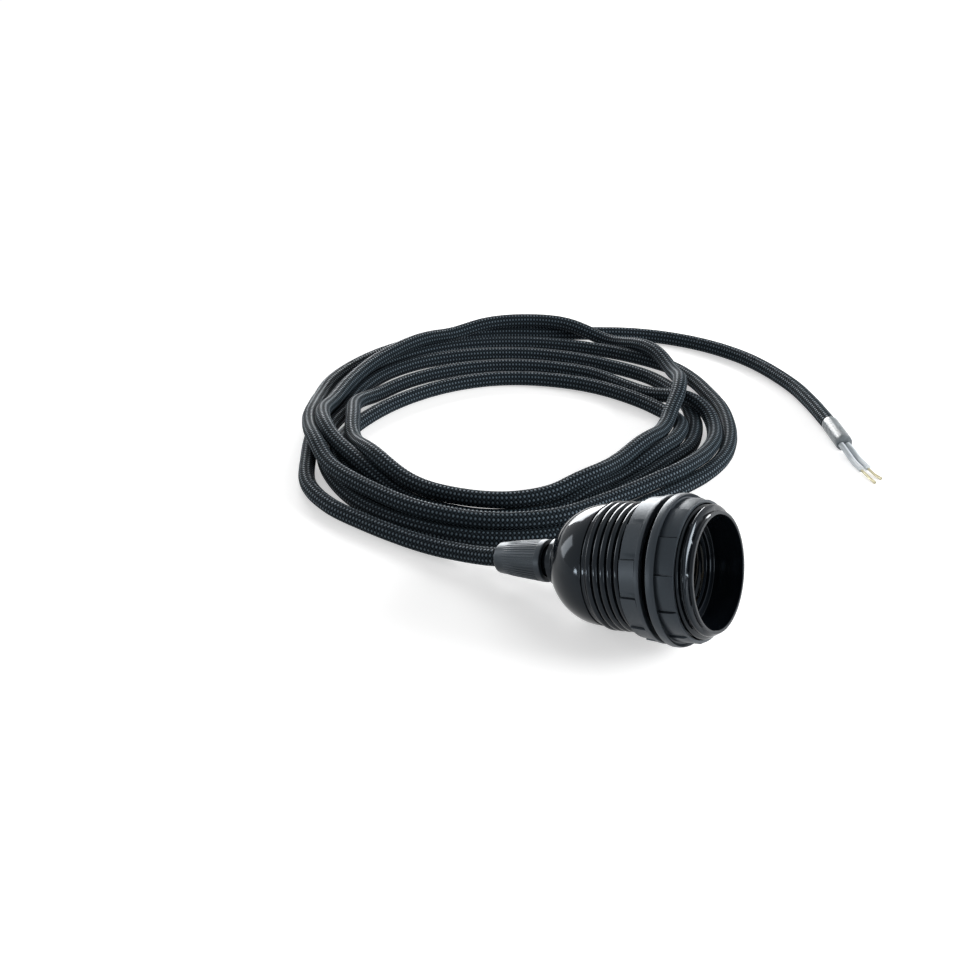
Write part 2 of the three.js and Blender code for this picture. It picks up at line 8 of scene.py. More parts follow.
import bpy
import numpy as np
from bpy.types import ID, Material, Mesh, Node, NodeSocket, NodeTree, Object
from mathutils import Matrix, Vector


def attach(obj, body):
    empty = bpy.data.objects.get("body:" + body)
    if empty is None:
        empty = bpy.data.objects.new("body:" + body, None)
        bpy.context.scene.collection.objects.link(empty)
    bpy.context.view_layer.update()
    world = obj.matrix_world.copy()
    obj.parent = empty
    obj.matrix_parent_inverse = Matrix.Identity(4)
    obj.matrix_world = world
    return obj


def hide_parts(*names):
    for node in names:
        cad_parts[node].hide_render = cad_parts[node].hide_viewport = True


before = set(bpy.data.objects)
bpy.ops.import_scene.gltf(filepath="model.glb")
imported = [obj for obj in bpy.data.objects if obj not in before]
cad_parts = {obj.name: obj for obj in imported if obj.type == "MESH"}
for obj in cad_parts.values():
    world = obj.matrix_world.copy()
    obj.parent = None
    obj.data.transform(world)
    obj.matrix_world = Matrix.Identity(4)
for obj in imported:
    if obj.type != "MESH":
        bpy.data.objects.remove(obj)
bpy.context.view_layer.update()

log = logging.getLogger("pendant")
MM = 0.001
Array = np.ndarray
Point = tuple[float, float, float]
Pair = tuple[float, float]


class Side(Enum):
    """The two poles of the cord."""

    LIVE = "live"
    NEUTRAL = "neutral"


class Slot(Enum):
    """The finishes that the record names."""

    GLOSS = "gloss_shell"
    SATIN = "satin_grip"
    BLOCK = "block"
    BRASS = "brass"
    STEEL = "steel"
    BRAID = "braid"
    SLEEVE = "sleeve"
    BROWN = "core_brown"
    BLUE = "core_blue"
    PALE = "core_pale"
    COPPER = "copper"


# Mesh helpers

def smoothstep(low: float, high: float, value: Array) -> Array:
    """Eases from 0 at low to 1 at high."""
    share = np.clip((value - low) / (high - low), 0.0, 1.0)
    return share * share * (3.0 - 2.0 * share)


def enclosed_volume(points: Array, faces: Array) -> float:
    """Measures the volume inside quads, which is below zero where they face inwards."""
    a, b, c, d = (points[faces[:, k]] for k in range(4))
    return float(np.sum(a * np.cross(b, c)) + np.sum(a * np.cross(c, d))) / 6.0


def placed(name: str, data: ID) -> Object:
    """Makes an object at the origin and links it to the scene."""
    item = bpy.data.objects.new(name, data)
    bpy.context.scene.collection.objects.link(item)
    return item


def new_piece(name: str, points: Array, quads: Array, caps: Sequence[Sequence[int]] = (),
              sharp_deg: float = 32.0) -> Object:
    """Makes a mesh object at the origin.

    Args:
        name: The piece's name.
        points: Its corners in millimetres, in the part's frame.
        quads: Its quads, all wound one way.
        caps: Further faces that close its ends, wound as the quads are.
        sharp_deg: Edges that fold by more than this are drawn sharp.

    Returns:
        The object, linked to the scene and facing outwards.
    """
    if enclosed_volume(points, quads) < 0:
        quads = quads[:, ::-1]
        caps = [list(cap)[::-1] for cap in caps]
    mesh = bpy.data.meshes.new(name)
    mesh.from_pydata((points * MM).tolist(), [], quads.tolist() + [list(cap) for cap in caps])
    mesh.shade_smooth()
    mesh.set_sharp_from_angle(angle=math.radians(sharp_deg))
    return placed(name, mesh)


def bend(mesh: Mesh, shape: Callable[[Array], Array]) -> None:
    """Moves a mesh's corners by a function that takes and gives millimetres."""
    corners = np.array([vertex.co for vertex in mesh.vertices]) / MM
    mesh.vertices.foreach_set("co", (shape(corners) * MM).ravel())
    mesh.update()


def grid_quads(around: int, along: int, wrap_along: bool) -> Array:
    """Lists the quads of a grid that closes round its first axis.

    Args:
        around: Points round the grid.
        along: Points along it.
        wrap_along: Whether it also closes on itself along its length.

    Returns:
        Rows of four indices into points stored as around by along.
    """
    i, j = np.meshgrid(np.arange(around), np.arange(along if wrap_along else along - 1), indexing="ij")

    def at(a: Array, b: Array) -> Array:
        """Gives the index of a grid point."""
        return ((a % around) * along + (b % along)).ravel()

    return np.stack([at(i, j), at(i + 1, j), at(i + 1, j + 1), at(i, j + 1)], axis=1)


def end_caps(around: int, along: int) -> list[list[int]]:
    """Lists the two faces that close a grid's ends, wound as its quads are."""
    return [[k * along for k in range(around)][::-1], [k * along + along - 1 for k in range(around)]]


def rounded(corners: Sequence[tuple[float, ...]], steps: int = 4) -> Array:
    """Rounds the corners of a closed profile.

    Args:
        corners: Rows of station, radius and, where it is rounded, the length taken off each side.
        steps: Points on each rounded corner.

    Returns:
        The profile as rows of station and radius.
    """
    out: list[Array] = []
    for i, corner in enumerate(corners):
        here = np.array(corner[:2], float)
        if len(corner) < 3:
            out.append(here)
            continue
        before = np.array(corners[i - 1][:2], float) - here
        after = np.array(corners[(i + 1) % len(corners)][:2], float) - here
        start = here + before / np.linalg.norm(before) * corner[2]
        end = here + after / np.linalg.norm(after) * corner[2]
        for share in np.linspace(0.0, 1.0, steps):
            out.append((1 - share) ** 2 * start + 2 * share * (1 - share) * here + share ** 2 * end)
    return np.array(out)


def steps_of(path: Array) -> Array:
    """Gives the distances from each point of a path to the next."""
    return np.linalg.norm(np.diff(path, axis=0), axis=1)


def travelled(path: Array) -> Array:
    """Gives how far along a path each of its points is."""
    return np.concatenate([[0.0], np.cumsum(steps_of(path))])


@dataclass(frozen=True)
class HolderFrame:
    """Where the holder stands: its rim's centre, and its axis, which leans back."""

    rim: Point = (35.7471496, 0.0, 28.501661)
    lean_deg: float = 15.0

    def place(self, back: Array, radius: Array, turn: Array) -> Array:
        """Turns stations behind the rim into points.

        Args:
            back: Stations behind the rim, in millimetres.
            radius: Radii from the axis.
            turn: Angles about the axis; 90 degrees is the top and 180 the side towards -Y.

        Returns:
            Points in the part's frame, with the coordinates on the last axis.
        """
        lean = math.radians(self.lean_deg)
        axis = np.array([math.cos(lean), 0.0, math.sin(lean)])
        side = np.array([0.0, 1.0, 0.0])
        up = np.array([-math.sin(lean), 0.0, math.cos(lean)])
        back, radius, turn = np.broadcast_arrays(back, radius, turn)
        return (np.array(self.rim) - axis * back[..., None]
                + radius[..., None] * (np.cos(turn)[..., None] * side + np.sin(turn)[..., None] * up))

    def turned(self, name: str, profile: Array, turns: Array,
               shape: Callable[[Array, Array, Array], tuple] | None = None) -> Object:
        """Turns a closed profile about the axis.

        Args:
            name: The piece's name.
            profile: Rows of station and radius.
            turns: The angles of its facets.
            shape: Changes the stations and radii by angle, as threads and teeth do.

        Returns:
            The closed piece.
        """
        back, radius, turn = np.broadcast_arrays(profile[None, :, 0], profile[None, :, 1], turns[:, None])
        if shape:
            back, radius = shape(back, radius, turn)
        points = self.place(back, radius, turn).reshape(-1, 3)
        return new_piece(name, points, grid_quads(len(turns), len(profile), True))


HOLDER = HolderFrame()


def even_turns(count: int) -> Array:
    """Gives evenly spaced angles round the axis."""
    return np.linspace(0.0, 2 * math.pi, count, endpoint=False)


# Node helpers

class NodeSheet:
    """Adds nodes to a tree, with short calls for what the finishes need."""

    def __init__(self, tree: NodeTree) -> None:
        """Starts on an empty tree."""
        self.tree = tree
        tree.nodes.clear()

    def add(self, kind: str, *, settings: dict | None = None, **inputs: object) -> Node:
        """Adds a node.

        Args:
            kind: The node's type; one that doesn't say Node is a shader node.
            settings: Attributes of the node itself.
            inputs: Values, sockets or nodes for its inputs, with _ for a space in a name, or i0, i1 for a place.

        Returns:
            The node.
        """
        node = self.tree.nodes.new(kind if "Node" in kind else f"ShaderNode{kind}")
        for key, value in (settings or {}).items():
            setattr(node, key, value)
        self.feed(node, **inputs)
        return node

    def feed(self, node: Node, **inputs: object) -> None:
        """Sets a node's inputs, named as for add; a node given as a value stands for its first output."""
        for key, value in inputs.items():
            place = int(key[1:]) if key[0] == "i" and key[1:].isdigit() else key.replace("_", " ")
            if isinstance(value, Node):
                value = value.outputs[0]
            if isinstance(value, NodeSocket):
                self.tree.links.new(value, node.inputs[place])
            else:
                node.inputs[place].default_value = value

    def product(self, first: object, *others: object) -> NodeSocket:
        """Multiplies values, one after another."""
        for other in others:
            first = self.math("MULTIPLY", first, other)
        return first

    def math(self, operation: str, first: object, second: object = 0.0) -> NodeSocket:
        """Adds a sum and returns its result."""
        return self.add("Math", settings={"operation": operation}, i0=first, i1=second).outputs[0]

    def blend(self, share: object, low: Sequence[float], high: Sequence[float]) -> NodeSocket:
        """Adds a colour mix and returns its result."""
        mix = self.add("Mix", settings={"data_type": "RGBA"}, i0=share, i6=(*low, 1.0), i7=(*high, 1.0))
        return mix.outputs[2]

    def spread(self, value: object, low: float, high: float) -> NodeSocket:
        """Maps 0 to 1 onto a range."""
        return self.add("MapRange", i0=value, i3=low, i4=high).outputs[0]


def node_sheet(owner: ID) -> NodeSheet:
    """Gives the sheet of nodes of a new material or world."""
    owner.use_nodes = True
    return NodeSheet(owner.node_tree)


def new_material(name: str) -> tuple[Material, NodeSheet, Node]:
    """Starts a node material, and returns it with its sheet of nodes and its surface shader."""
    material = bpy.data.materials.new(name)
    sheet = node_sheet(material)
    shader = sheet.add("BsdfPrincipled")
    sheet.add("OutputMaterial", Surface=shader)
    return material, sheet, shader


@dataclass(frozen=True)
class MouldedFinish:
    """Moulded or machined stock: a colour that varies a little, and a fine grain."""

    name: str
    dark: Point
    light: Point
    rough_low: float
    rough_high: float
    grain: float = 900.0
    grain_depth: float = 0.00001
    grain_strength: float = 0.15
    metallic: float = 0.0
    tint: Point = (1.0, 1.0, 1.0)
    specular: float = 0.5
    see_through: float = 0.0
    scatter: float = 0.002

    def build(self) -> Material:
        """Builds the node material."""
        material, sheet, shader = new_material(self.name)
        place = sheet.add("TexCoord").outputs["Object"]
        broad = sheet.add("TexNoise", Vector=place, Scale=90.0, Detail=4.0, Roughness=0.6)
        fine = sheet.add("TexNoise", Vector=place, Scale=self.grain, Detail=3.0, Roughness=0.55)
        colour = sheet.blend(broad, self.dark, self.light)
        rough = sheet.spread(fine, self.rough_low, self.rough_high)
        bump = sheet.add("Bump", Strength=self.grain_strength, Distance=self.grain_depth, Height=fine)
        sheet.feed(shader, Base_Color=colour, Roughness=rough, Normal=bump, Metallic=self.metallic,
                   Specular_IOR_Level=self.specular, Specular_Tint=(*self.tint, 1.0),
                   Subsurface_Weight=self.see_through, Subsurface_Radius=(self.scatter,) * 3)
        return material


@dataclass(frozen=True)
class BraidFinish:
    """Textile braid that follows the cord's own map: bundles of thread that pass over and under. Its colour is painted
    light: painted shade in the creases between bundles and on every other cell, and a blue-grey painted highlight on
    the bundles' tops.
    """

    name: str = "braid_black"
    # The painted shade in the creases between bundles.
    dark: Point = (0.001, 0.0015, 0.0022)
    # The blue-grey painted highlight on the bundles' tops.
    light: Point = (0.056, 0.082, 0.102)
    tint: Point = (0.72, 0.86, 1.0)
    threads: float = 3.0
    thread_height: float = 0.09
    pillow_power: float = 0.6
    # How sharply the painted shade closes in towards each cell's edges.
    painted_shade_power: float = 1.6
    depth: float = 0.0003
    strength: float = 0.9
    # How bright every other cell stays under its painted shade.
    odd_cell_painted_shade: float = 0.26
    # thread_shade paints shade into the grooves between single threads; fuzz_shade and patch_shade vary the tone at
    # random.
    thread_shade: Pair = (0.8, 1.0)
    fuzz_shade: Pair = (0.6, 1.25)
    patch_shade: Pair = (0.75, 1.15)
    roughness: Pair = (0.9, 0.46)
    specular: Pair = (0.04, 0.5)

    def build(self) -> Material:
        """Builds the node material; the map counts cells along and round the cord."""
        material, sheet, shader = new_material(self.name)
        place = sheet.add("TexCoord").outputs["UV"]
        split = sheet.add("SeparateXYZ", Vector=place)
        along, across = split.outputs[0], split.outputs[1]
        first = sheet.math("ADD", along, across)
        second = sheet.math("SUBTRACT", along, across)
        cells = sheet.math("ADD", sheet.math("FLOOR", first), sheet.math("FLOOR", second))
        over = sheet.math("PINGPONG", cells, 1.0)
        waves = [sheet.math("SINE", sheet.product(sheet.math("FRACT", axis), math.pi)) for axis in (first, second)]
        pillow = sheet.math("POWER", sheet.product(*waves), self.pillow_power)
        runs = [sheet.math("SINE", sheet.product(axis, 2 * math.pi * self.threads)) for axis in (second, first)]
        run = sheet.add("Mix", settings={"data_type": "FLOAT"}, i0=over, i2=runs[0], i3=runs[1])
        height = sheet.math("ADD", pillow, sheet.product(run, self.thread_height, pillow))
        own = sheet.add("TexCoord").outputs["Object"]
        fuzz = sheet.add("TexNoise", Vector=own, Scale=2600.0, Detail=2.0)
        patch = sheet.add("TexNoise", Vector=own, Scale=60.0, Detail=3.0)
        # Painted light: lit at the middle of each cell, falling to painted shade at its edges and on every other cell;
        # roughness and specular follow it.
        lean = sheet.product(sheet.math("POWER", pillow, self.painted_shade_power), sheet.spread(over, 1.0, self.odd_cell_painted_shade))
        shade = sheet.product(lean, sheet.spread(sheet.math("ADD", run, 1.0), *self.thread_shade),
                              sheet.spread(fuzz, *self.fuzz_shade),
                              sheet.spread(patch, *self.patch_shade))
        bump = sheet.add("Bump", Strength=self.strength, Distance=self.depth, Height=height)
        sheet.feed(shader, Base_Color=sheet.blend(shade, self.dark, self.light),
                   Roughness=sheet.spread(lean, *self.roughness),
                   Specular_IOR_Level=sheet.spread(lean, *self.specular),
                   Normal=bump, Specular_Tint=(*self.tint, 1.0))
        return material


COOL = (0.74, 0.87, 1.0)
FINISHES = {
    Slot.GLOSS: MouldedFinish("gloss_black", (0.0018, 0.0028, 0.0042), (0.0036, 0.0054, 0.0078), 0.07, 0.14,
                              grain=700.0, grain_strength=0.06, tint=COOL, specular=0.24),
    Slot.SATIN: MouldedFinish("satin_black", (0.0105, 0.0135, 0.017), (0.016, 0.0205, 0.0255), 0.34, 0.48,
                              grain=3800.0, grain_strength=0.25, tint=COOL, specular=0.42),
    Slot.BLOCK: MouldedFinish("block_white", (0.6, 0.57, 0.5), (0.7, 0.67, 0.6), 0.5, 0.62, grain=2200.0),
    Slot.BRASS: MouldedFinish("brass_plain", (0.6, 0.4, 0.16), (0.72, 0.5, 0.22), 0.24, 0.38, metallic=1.0,
                              grain=2600.0),
    Slot.STEEL: MouldedFinish("steel_zinced", (0.45, 0.46, 0.47), (0.58, 0.59, 0.6), 0.28, 0.42, metallic=1.0,
                              grain=2600.0),
    Slot.BRAID: BraidFinish(),
    Slot.SLEEVE: MouldedFinish("sleeve_grey", (0.05, 0.062, 0.07), (0.2, 0.225, 0.24), 0.22, 0.34, grain=420.0,
                               grain_depth=0.0002, grain_strength=0.3, see_through=0.15),
    Slot.BROWN: MouldedFinish("core_brown", (0.085, 0.04, 0.018), (0.13, 0.065, 0.03), 0.35, 0.45),
    Slot.BLUE: MouldedFinish("core_blue", (0.02, 0.06, 0.2), (0.03, 0.09, 0.28), 0.35, 0.45),
    Slot.PALE: MouldedFinish("core_pale", (0.42, 0.46, 0.5), (0.62, 0.66, 0.69), 0.3, 0.42, see_through=0.2),
    Slot.COPPER: MouldedFinish("copper_tinned", (0.4, 0.37, 0.25), (0.6, 0.56, 0.4), 0.3, 0.45, metallic=1.0,
                               grain=5200.0),
}


class Dresser:
    """Holds the built materials, and gives pieces and CAD nodes their finish and their place."""

    def __init__(self) -> None:
        """Builds every material once."""
        self.materials = {slot: finish.build() for slot, finish in FINISHES.items()}

    def dress(self, piece: Object, slot: Slot, *nodes: str) -> Object:
        """Finishes a new piece.

        Args:
            piece: The piece.
            slot: Its finish.
            nodes: The CAD nodes that it stands for.

        Returns:
            The piece.
        """
        piece.data.materials.clear()
        piece.data.materials.append(self.materials[slot])
        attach(piece, "root")
        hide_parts(*nodes)
        log.info("%s: %d faces, for %s", piece.name, len(piece.data.polygons), ", ".join(nodes))
        return piece

    def keep(self, slot: Slot, *nodes: str) -> None:
        """Gives CAD nodes whose shape stays a better material."""
        for node in nodes:
            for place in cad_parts[node].material_slots:
                place.material = self.materials[slot]
            log.info("%s keeps its shape", node)


# Geometry nodes

class RoundCopies:
    """A node tree that sets copies of a piece evenly round its own Z axis."""

    def __init__(self, name: str) -> None:
        """Builds the tree with its named inputs."""
        self.tree = bpy.data.node_groups.new(name, "GeometryNodeTree")
        face = self.tree.interface
        for label, kind in (("Geometry", "Geometry"), ("Count", "Int"), ("Material", "Material")):
            face.new_socket(label, in_out="INPUT", socket_type=f"NodeSocket{kind}")
        face.new_socket("Geometry", in_out="OUTPUT", socket_type="NodeSocketGeometry")
        sheet = NodeSheet(self.tree)
        given = sheet.add("NodeGroupInput").outputs
        ring = sheet.add("GeometryNodeMeshCircle", Vertices=given["Count"], Radius=0.0)
        number = sheet.add("GeometryNodeInputIndex")
        share = sheet.math("DIVIDE", number, given["Count"])
        angle = sheet.product(share, 2 * math.pi)
        turn = sheet.add("CombineXYZ", Z=angle)
        copies = sheet.add("GeometryNodeInstanceOnPoints", Points=ring, Instance=given["Geometry"], Rotation=turn)
        real = sheet.add("GeometryNodeRealizeInstances", Geometry=copies)
        done = sheet.add("GeometryNodeSetMaterial", Geometry=real, Material=given["Material"])
        sheet.add("NodeGroupOutput", Geometry=done)

    def mesh(self, piece: Object, count: int, material: Material) -> Mesh:
        """Copies a piece round the axis.

        Args:
            piece: The piece, which is used up.
            count: How many copies.
            material: The finish of the copies.

        Returns:
            One plain mesh of all copies.
        """
        modifier = piece.modifiers.new("copies", "NODES")
        modifier.node_group = self.tree
        values = {"Count": count, "Material": material}
        for item in self.tree.interface.items_tree:
            if item.in_out == "INPUT" and item.name in values:
                modifier[item.identifier] = values[item.name]
        bpy.context.view_layer.update()
        result = piece.evaluated_get(bpy.context.evaluated_depsgraph_get())
        mesh = bpy.data.meshes.new_from_object(result)
        piece.modifiers.remove(modifier)
        bpy.data.objects.remove(piece)
        return mesh


# The holder

@dataclass
class Skirt:
    """The moulded tube with the shade thread outside and the lamp thread inside."""

    length: float = 36.1
    root: float = 18.8
    crest: float = 20.0
    pitch: float = 2.42
    near_crest: float = 1.78
    rim: float = 18.15
    collar_bore: float = 17.05
    collar_depth: float = 9.6
    entry_bore: float = 14.6
    entry_depth: float = 11.0
    lamp_major: float = 13.4
    lamp_minor: float = 12.5
    lamp_pitch: float = 3.6
    lamp_run: float = 1.2
    ledge: float = 23.6
    chamber: float = 16.0
    half_near: float = 0.33
    half_gain: float = 0.12
    gain_zone: Pair = (2.6, 5.0)
    crest_power: float = 2.4
    root_zone: Pair = (2.2, 2.8)
    run_in: float = 0.3
    run_out: Pair = (2.2, 0.9)

    def build(self, dresser: Dresser) -> None:
        """Builds and dresses the skirt."""
        outside = np.arange(0.75, self.length - 0.3, 0.2)
        inside = np.arange(self.ledge - 0.2, self.entry_depth + 0.3, -0.3)
        head = rounded([(0.7, self.rim - 0.1), (0.0, self.rim, 0.25), (0.0, self.collar_bore, 0.25),
                        (self.collar_depth, self.collar_bore, 0.25), (self.collar_depth, self.entry_bore, 0.6),
                        (self.entry_depth, self.entry_bore, 0.2), (self.entry_depth, self.lamp_minor, 0.3)], 4)[1:]
        tail = rounded([(self.ledge, self.lamp_minor, 0.1), (self.ledge, self.chamber, 0.1),
                        (self.length, self.chamber, 0.2), (self.length, self.root, 0.2)], 3)
        bore, wall = (np.stack([row[::-1], np.full_like(row, radius)], 1)
                      for row, radius in ((inside, self.lamp_minor), (outside, self.root)))
        profile = np.vstack([head, bore, tail, wall])
        kinds = np.concatenate([np.zeros(len(head)), np.full(len(inside), 2), np.zeros(len(tail)),
                                np.ones(len(outside))])[None, :]

        def threads(back: Array, radius: Array, turn: Array) -> tuple:
            """Winds both threads into the plain profile."""
            share = (turn - math.pi) / (2 * math.pi)
            lead = (back - self.near_crest) / self.pitch + share
            near = np.abs(lead - np.round(lead))
            half = self.half_near + self.half_gain * smoothstep(*self.gain_zone, back)
            crest = np.sqrt(np.clip(1.0 - (near / half) ** self.crest_power, 0.0, 1.0))
            start, end = (self.length - left for left in self.run_out)
            fade = smoothstep(-self.run_in, 0.0, np.round(lead) - share) * (1.0 - smoothstep(start, end, back))
            base = self.rim + (self.root - self.rim) * smoothstep(*self.root_zone, back)
            outer = base + (self.crest - base) * crest * fade
            wave = 0.5 + 0.5 * np.cos(2 * math.pi * (back / self.lamp_pitch + turn / (2 * math.pi)))
            ends = smoothstep(self.entry_depth, self.entry_depth + self.lamp_run, back) * (
                1.0 - smoothstep(self.ledge - self.lamp_run, self.ledge - 0.1, back))
            inner = self.lamp_minor + (self.lamp_major - self.lamp_minor) * wave * ends
            return back, np.where(kinds == 1, outer, np.where(kinds == 2, inner, radius))

        skirt = HOLDER.turned("skirt_shell", profile, even_turns(192), threads)
        dresser.dress(skirt, Slot.GLOSS, "threaded_skirt")


@dataclass
class ShadeRing:
    """A ring that clamps the shade: a flange, and a band of teeth that ramp up and step down."""

    name: str
    node: str
    first_step_deg: float
    teeth: int = 12
    step: float = 0.55
    notch: float = 0.4
    notch_zone: Pair = (0.967, 0.999)
    bore: float = 20.3

    @property
    def whole(self) -> float:
        """The angle from one tooth to the next."""
        return 2 * math.pi / self.teeth

    def turns(self) -> Array:
        """Gives the facets' angles, which lie close together on both sides of each notch."""
        inner = np.concatenate([[0.004], np.linspace(0.02, 0.95, 13), [0.964, 0.97, 0.992]])
        steps = math.radians(self.first_step_deg) + self.whole * np.arange(self.teeth)
        return (steps[:, None] + self.whole * inner[None, :]).ravel()

    def rise(self, turn: Array) -> Array:
        """Gives a tooth's height by angle: full just after a step, down to a notch before the next."""
        share = ((turn - math.radians(self.first_step_deg)) / self.whole) % 1.0
        low, high = self.notch_zone
        return np.where((share > low) & (share < high), -self.notch, self.step * (1.0 - share))

    def make(self, dresser: Dresser, profile: Array, lifted: Array, drawn: Array) -> None:
        """Turns the profile, with teeth on part of it.

        Args:
            dresser: Gives the finish.
            profile: Rows of station and radius.
            lifted: How far each point follows the tooth outwards.
            drawn: How far each point follows the tooth back from the mouth; a notch leaves it in place.
        """
        def teeth(back: Array, radius: Array, turn: Array) -> tuple:
            """Raises the band's points by the tooth under them."""
            rise = self.rise(turn)
            return back + np.maximum(rise, 0.0) * drawn[None, :], radius + rise * lifted[None, :]

        dresser.dress(HOLDER.turned(self.name, profile, self.turns(), teeth), Slot.SATIN, self.node)


@dataclass
class FrontRing(ShadeRing):
    """The ring on the mouth's side of the shade."""

    front: float = 4.5
    flange_at: float = 10.5
    flange_end: float = 12.55
    grip: float = 21.15
    flange: float = 23.05
    draw: float = 1.9

    def build(self, dresser: Dresser) -> None:
        """Builds and dresses the ring."""
        body = rounded([(self.front, self.bore, 0.15), (self.flange_end, self.bore, 0.15),
                        (self.flange_end, self.flange, 0.5), (self.flange_at, self.flange, 0.7)], 5)
        foot = np.array([(self.flange_at, self.grip + 0.75), (self.flange_at - 0.05, self.grip + 0.02),
                         (self.flange_at - 0.35, self.grip), (self.front + 0.32, self.grip),
                         (self.front + 0.22, self.grip - 0.02)])
        lip = rounded([(self.front + 0.2, self.grip), (self.front, self.grip, 0.2), (self.front, self.bore)])[1:-1]
        profile = np.vstack([body, foot, lip])
        lifted, drawn = np.zeros(len(profile)), np.zeros(len(profile))
        start = len(body)
        lifted[start + 1:start + 4] = 1.0
        drawn[start + 3] = self.draw
        self.make(dresser, profile, lifted, drawn)


@dataclass
class RearRing(ShadeRing):
    """The ring behind the shade."""

    flange_at: float = 14.9
    flange_end: float = 16.1
    end: float = 22.0
    grip: float = 21.65
    taper: float = 0.4
    flange: float = 22.4

    def build(self, dresser: Dresser) -> None:
        """Builds and dresses the ring."""
        head = rounded([(self.flange_at, self.bore, 0.12), (self.flange_at, self.flange, 0.3),
                        (self.flange_end + 0.35, self.flange, 0.3)])
        rear = self.grip - self.taper
        band = np.array([(self.flange_end + 0.4, self.grip + 0.03), (self.flange_end + 0.45, self.grip),
                         (self.end - 0.62, rear), (self.end - 0.3, rear - 0.02), (self.end, rear - 0.38)])
        profile = np.vstack([head, band, [(self.end, self.bore + 0.1), (self.end - 0.1, self.bore)]])
        lifted = np.zeros(len(profile))
        start = len(head)
        lifted[start + 1:start + 4] = 1.0
        self.make(dresser, profile, lifted, np.zeros(len(profile)))


@dataclass
class Dome:
    """The cap that closes the skirt and narrows to the neck."""

    front: float = 36.4
    radius: float = 18.95
    straight: float = 0.8
    depth: float = 18.0
    wall: float = 2.2
    spigot: float = 15.7
    spigot_front: float = 31.4
    neck: float = 7.7
    neck_length: float = 2.2
    bore: float = 5.4

    def arc(self, low: float, high: float, inset: float, count: int) -> list[Pair]:
        """Gives points on the cap's curve between two radii, from the wider to the narrower."""
        start, end = math.asin(low / self.radius), math.asin(high / self.radius)
        turns = np.linspace(end, start, count)
        return [(self.front + self.straight + (self.depth - inset) * math.cos(t),
                 (self.radius - inset) * math.sin(t)) for t in turns]

    def build(self, dresser: Dresser) -> None:
        """Builds and dresses the cap."""
        outer = self.arc(self.neck + 0.9, self.radius, 0.0, 40)
        base = self.front + self.straight
        foot = base + self.depth * math.sqrt(1 - (self.neck / self.radius) ** 2)
        end = foot + self.neck_length
        inner = self.arc(self.bore * self.radius / (self.radius - self.wall), self.radius, self.wall, 16)
        head = rounded([(self.spigot_front, self.spigot - self.wall), (self.spigot_front, self.spigot, 0.3),
                        (self.front, self.spigot, 0.15), (self.front, self.radius, 0.3),
                        (base, self.radius)])[:-1]
        neck = rounded([(foot - 0.45, self.neck + 0.55), (foot + 0.25, self.neck + 0.05, 0.35),
                        (end, self.neck, 0.45), (end, self.bore, 0.15), (end - 1.0, self.bore)])[:-1]
        profile = np.vstack([head, outer[1:], neck, inner[::-1], [(base, self.spigot - self.wall)]])
        dresser.dress(HOLDER.turned("dome_shell", profile, even_turns(144)), Slot.GLOSS, "dome_cap")


@dataclass
class GripNut:
    """The ribbed nut that clamps the cord."""

    front: float = 58.65
    rear: float = 77.65
    front_radius: float = 6.9
    rear_radius: float = 5.0
    band: float = 2.2
    thread_bore: float = 5.4
    jaw_end: float = 69.55
    jaw_bore: float = 4.6
    cord_bore: float = 3.45
    thread_end: float = 64.65
    ribs: int = 42
    rib_height: float = 0.2
    rib_half: float = 0.3
    rib_sink: float = 0.12
    smooth_end: float = 3.4

    def cone(self, back: float) -> float:
        """Gives the ribbed part's radius under the ribs, behind the band."""
        share = (back - self.front - self.band) / (self.rear - self.front - self.band)
        return self.front_radius - 0.25 + (self.rear_radius - self.front_radius + 0.3) * share

    def build(self, dresser: Dresser, copies: RoundCopies) -> None:
        """Builds and dresses the nut, and its ribs as a piece of their own."""
        shoulder = self.front + self.band
        profile = rounded([
            (self.front, self.thread_bore, 0.1), (self.thread_end, self.thread_bore, 0.1),
            (self.jaw_end, self.jaw_bore, 0.1), (self.jaw_end, self.cord_bore, 0.1),
            (self.rear, self.cord_bore, 0.25), (self.rear, self.cone(self.rear), 1.1),
            (shoulder, self.cone(shoulder), 0.15), (shoulder, self.front_radius, 0.12),
            (self.front, self.front_radius, 0.35),
        ], 6)
        nut = HOLDER.turned("nut_shell", profile, even_turns(96))
        start, end = shoulder + 0.05, self.rear - self.smooth_end
        rows = []
        for back, lift in ((start, 0.9), (start + 0.3, 1.0), ((start + end) / 2, 1.0), (end - 2.5, 0.8), (end, 0.0)):
            low, high = self.cone(back) - self.rib_sink, self.cone(back) + self.rib_height * lift
            wide = self.rib_half * self.cone(back) / self.front_radius
            rows.append([(low, -wide, back), (high - 0.05, -wide * 0.75, back), (high, 0.0, back),
                         (high - 0.05, wide * 0.75, back), (low, wide, back)])
        grid = np.array(rows).transpose(1, 0, 2)
        around, along = grid.shape[:2]
        rib = new_piece("nut_rib", grid.reshape(-1, 3), grid_quads(around, along, False), end_caps(around, along), 60.0)
        mesh = copies.mesh(rib, self.ribs, dresser.materials[Slot.SATIN])
        bend(mesh, lambda spots: HOLDER.place(spots[:, 2], np.hypot(spots[:, 0], spots[:, 1]),
                                              np.arctan2(spots[:, 1], spots[:, 0])))
        mesh.flip_normals()
        ribs = placed("nut_ribs", mesh)
        dresser.dress(nut, Slot.SATIN, "grip_nut")
        dresser.dress(ribs, Slot.SATIN)


